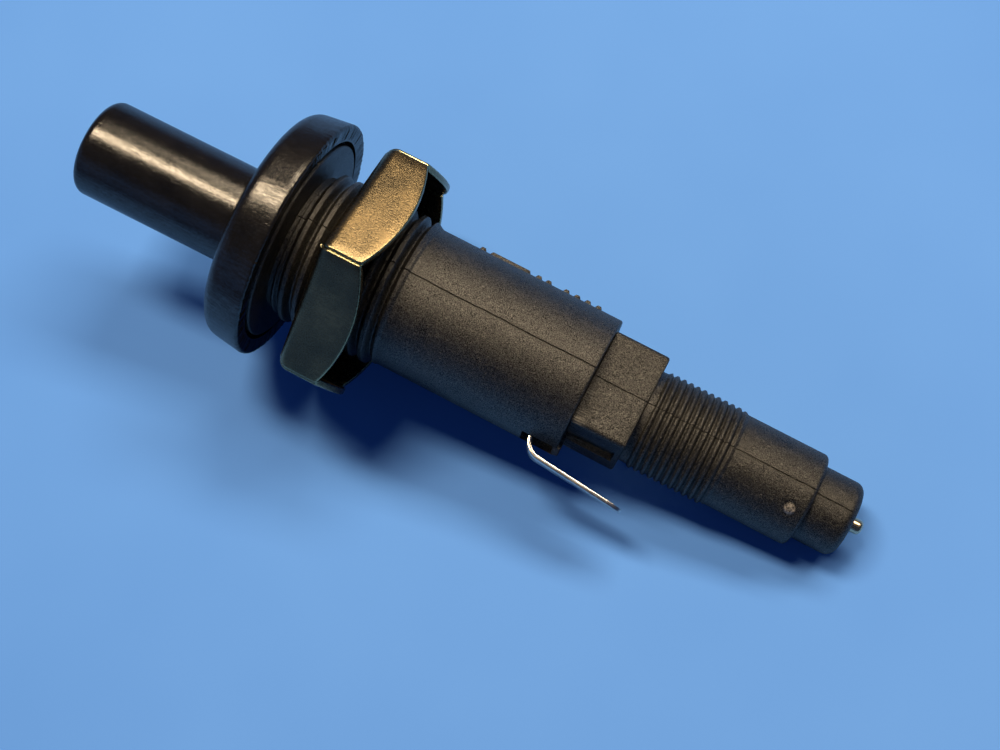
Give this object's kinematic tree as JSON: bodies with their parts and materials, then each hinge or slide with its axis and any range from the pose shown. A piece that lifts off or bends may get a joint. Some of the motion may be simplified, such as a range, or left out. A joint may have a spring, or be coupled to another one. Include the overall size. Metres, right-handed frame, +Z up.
{
  "type": "push-button piezo igniter",
  "caption": "Panel-mount push-button piezo spark igniter: round bezel, threaded barrel with folded sheet hex nut, square and finely threaded insulator, flat earth tab and high-voltage pin.",
  "frame": {"origin": "on the igniter's axis, in the plane of the flange face that bears on the panel", "axes": "+X runs along the axis from the panel face towards the high-voltage pin, the button points to -X, the earth tab is on the -Y side, +Z is up"},
  "size_m": [0.086, 0.0266, 0.0268],
  "materials": {
    "matte_black": "fine spark-eroded texture",
    "gloss_black": "polished moulding",
    "nickel_plate": "nickel-plated sheet steel",
    "tin_plate": "tin-plated brass strip",
    "pin_metal": "drawn brass",
    "spring_steel": "drawn wire",
    "turned_steel": "turned and plated",
    "natural_acetal": "natural acetal",
    "insulating_tube": "translucent tube",
    "piezo_ceramic": "fired ceramic"
  },
  "bodies": {
    "housing": {"front_housing": "matte_black", "bezel_cap": "gloss_black", "rear_insulator": "matte_black", "earth_tab": "tin_plate", "ht_pin": "pin_metal", "impact_spring": "spring_steel", "return_spring": "spring_steel", "hammer_return_spring": "spring_steel", "guide_sleeve": "natural_acetal", "anvil": "turned_steel", "front_crystal": "piezo_ceramic", "centre_electrode": "pin_metal", "rear_crystal": "piezo_ceramic", "contact_cap": "pin_metal", "crystal_sleeve": "insulating_tube", "contact_spring": "spring_steel"},
    "button": {"push_button": "gloss_black", "button_spring_seat": "spring_steel"},
    "spring_follower": {"thrust_washer": "turned_steel"},
    "hammer": {"hammer": "turned_steel", "cross_pin": "turned_steel"},
    "nut": {"panel_nut": "nickel_plate"}
  },
  "joints": [
    {"name": "button_press", "type": "slide", "parent": "housing", "child": "button", "axis": [1, 0, 0], "range_m": [0, 0.0075], "stiffness_N_per_m": 800, "deforming": ["impact_spring", "return_spring"]},
    {"name": "hammer_strike", "type": "slide", "parent": "housing", "child": "spring_follower", "axis": [1, 0, 0], "range_m": [0, 0.006], "stiffness_N_per_m": 60, "deforming": ["impact_spring", "hammer_return_spring"]},
    {"name": "hammer_turn", "type": "hinge", "parent": "spring_follower", "child": "hammer", "pos_m": [0.018, 0, 0], "axis": [1, 0, 0], "range_deg": [-25, 0]},
    {"name": "nut_run", "type": "slide", "parent": "housing", "child": "nut", "axis": [1, 0, 0], "range_m": [-0.0046, 0.006]}
  ]
}
